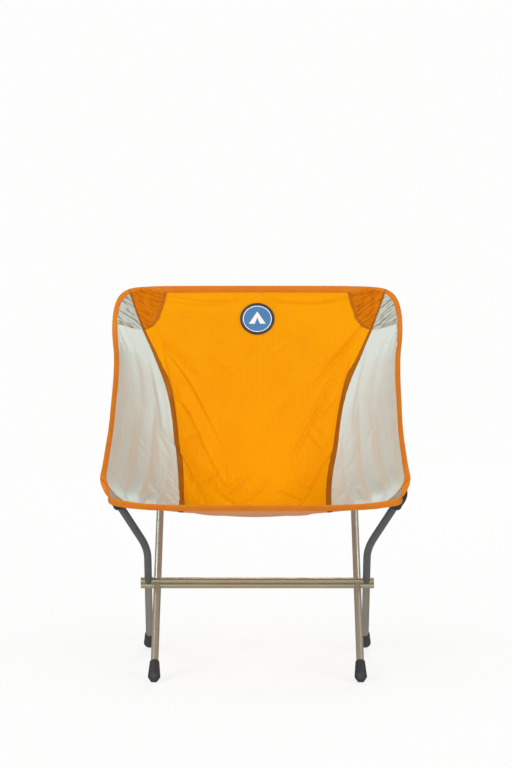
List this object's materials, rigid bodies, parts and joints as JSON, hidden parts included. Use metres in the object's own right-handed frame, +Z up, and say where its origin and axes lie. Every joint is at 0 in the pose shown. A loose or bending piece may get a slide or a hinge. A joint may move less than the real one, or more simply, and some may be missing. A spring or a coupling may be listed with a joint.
{
  "type": "camping chair",
  "caption": "Low folding camping chair: a fabric bucket seat slung by its corners from crossed shock-corded aluminium poles on a grooved crossbar.",
  "frame": {"origin": "on the floor under the middle of the chair's bounding box", "axes": "+Z up, +Y towards the backrest, +X towards the left hand of someone sitting in it"},
  "size_m": [0.5286, 0.4767, 0.6526],
  "materials": {
    "bar_anodised": "satin olive-champagne anodising",
    "champagne_tube": "satin champagne anodising",
    "grey_tube": "satin grey-brown anodising",
    "black_tube": "matte charcoal coating",
    "bare_aluminium": "bare drawn tube",
    "shock_cord": "braided cotton cover",
    "cap_plastic": "moulded",
    "foot_rubber": "matte moulded rubber",
    "seat_cloth": "orange ripstop, plain weave",
    "side_cloth": "silver grey ripstop with a soft sheen",
    "seam_tape": "brown-orange stitched seam",
    "rim_tape": "burnt orange woven binding",
    "pocket_cloth": "doubled orange ripstop",
    "cup_webbing": "black pole pocket",
    "badge_patch": "soft moulded round patch with a plain emblem"
  },
  "bodies": {
    "frame": {"crossbar_left": "bar_anodised", "crossbar_right": "bar_anodised", "crossbar_ferrule": "bare_aluminium", "crossbar_shock_cord": "shock_cord", "back_pole_stub_left": "champagne_tube", "back_stub_ferrule_left": "bare_aluminium", "back_pole_lower_left": "champagne_tube", "back_pole_ferrule_left": "bare_aluminium", "back_pole_upper_left": "champagne_tube", "back_pole_cord_left": "shock_cord", "back_tip_cap_left": "cap_plastic", "seat_pole_left": "black_tube", "seat_pole_cord_left": "shock_cord", "seat_tip_cap_left": "cap_plastic", "seam_strip_left": "seam_tape", "side_panel_left": "side_cloth", "side_binding_left": "rim_tape", "back_pole_stub_right": "champagne_tube", "back_stub_ferrule_right": "bare_aluminium", "back_pole_lower_right": "champagne_tube", "back_pole_ferrule_right": "bare_aluminium", "back_pole_upper_right": "champagne_tube", "back_pole_cord_right": "shock_cord", "back_tip_cap_right": "cap_plastic", "seat_pole_right": "black_tube", "seat_pole_cord_right": "shock_cord", "seat_tip_cap_right": "cap_plastic", "seam_strip_right": "seam_tape", "side_panel_right": "side_cloth", "side_binding_right": "rim_tape", "seat_panel": "seat_cloth", "top_binding": "rim_tape", "hem_binding": "rim_tape", "badge": "badge_patch"},
    "front_leg_left_unit": {"front_leg_left": "champagne_tube", "front_leg_ferrule_left": "bare_aluminium", "front_leg_cord_left": "shock_cord", "front_foot_left": "foot_rubber"},
    "rear_leg_left_unit": {"rear_leg_left": "grey_tube", "rear_leg_ferrule_left": "bare_aluminium", "rear_leg_cord_left": "shock_cord", "rear_foot_left": "foot_rubber"},
    "back_corner_left": {"back_pocket_patch_left": "pocket_cloth", "back_pocket_sleeve_left": "pocket_cloth"},
    "front_corner_left": {"front_cup_left": "cup_webbing", "front_gusset_left": "side_cloth"},
    "front_leg_right_unit": {"front_leg_right": "champagne_tube", "front_leg_ferrule_right": "bare_aluminium", "front_leg_cord_right": "shock_cord", "front_foot_right": "foot_rubber"},
    "rear_leg_right_unit": {"rear_leg_right": "grey_tube", "rear_leg_ferrule_right": "bare_aluminium", "rear_leg_cord_right": "shock_cord", "rear_foot_right": "foot_rubber"},
    "back_corner_right": {"back_pocket_patch_right": "pocket_cloth", "back_pocket_sleeve_right": "pocket_cloth"},
    "front_corner_right": {"front_cup_right": "cup_webbing", "front_gusset_right": "side_cloth"}
  },
  "joints": [
    {"name": "front_leg_pull_left", "type": "slide", "parent": "frame", "child": "front_leg_left_unit", "axis": [0, -0.7408, -0.6717], "range_m": [0, 0.05], "stiffness_N_per_m": 120, "springref_m": -0.04},
    {"name": "rear_leg_pull_left", "type": "slide", "parent": "frame", "child": "rear_leg_left_unit", "axis": [-0.0244, 0.7406, -0.6715], "range_m": [0, 0.05], "stiffness_N_per_m": 120, "springref_m": -0.04},
    {"name": "back_corner_pull_left", "type": "slide", "parent": "frame", "child": "back_corner_left", "axis": [-0.1908, 0.2961, 0.9359], "range_m": [0, 0.055], "stiffness_N_per_m": 200, "springref_m": -0.04},
    {"name": "front_corner_pull_left", "type": "slide", "parent": "frame", "child": "front_corner_left", "axis": [-0.327, -0.6753, 0.6611], "range_m": [0, 0.045], "stiffness_N_per_m": 200, "springref_m": -0.04},
    {"name": "front_leg_pull_right", "type": "slide", "parent": "frame", "child": "front_leg_right_unit", "axis": [0, -0.7408, -0.6717], "range_m": [0, 0.05], "stiffness_N_per_m": 120, "springref_m": -0.04},
    {"name": "rear_leg_pull_right", "type": "slide", "parent": "frame", "child": "rear_leg_right_unit", "axis": [0.0244, 0.7406, -0.6715], "range_m": [0, 0.05], "stiffness_N_per_m": 120, "springref_m": -0.04},
    {"name": "back_corner_pull_right", "type": "slide", "parent": "frame", "child": "back_corner_right", "axis": [0.1908, 0.2961, 0.9359], "range_m": [0, 0.055], "stiffness_N_per_m": 200, "springref_m": -0.04},
    {"name": "front_corner_pull_right", "type": "slide", "parent": "frame", "child": "front_corner_right", "axis": [0.327, -0.6753, 0.6611], "range_m": [0, 0.045], "stiffness_N_per_m": 200, "springref_m": -0.04}
  ]
}
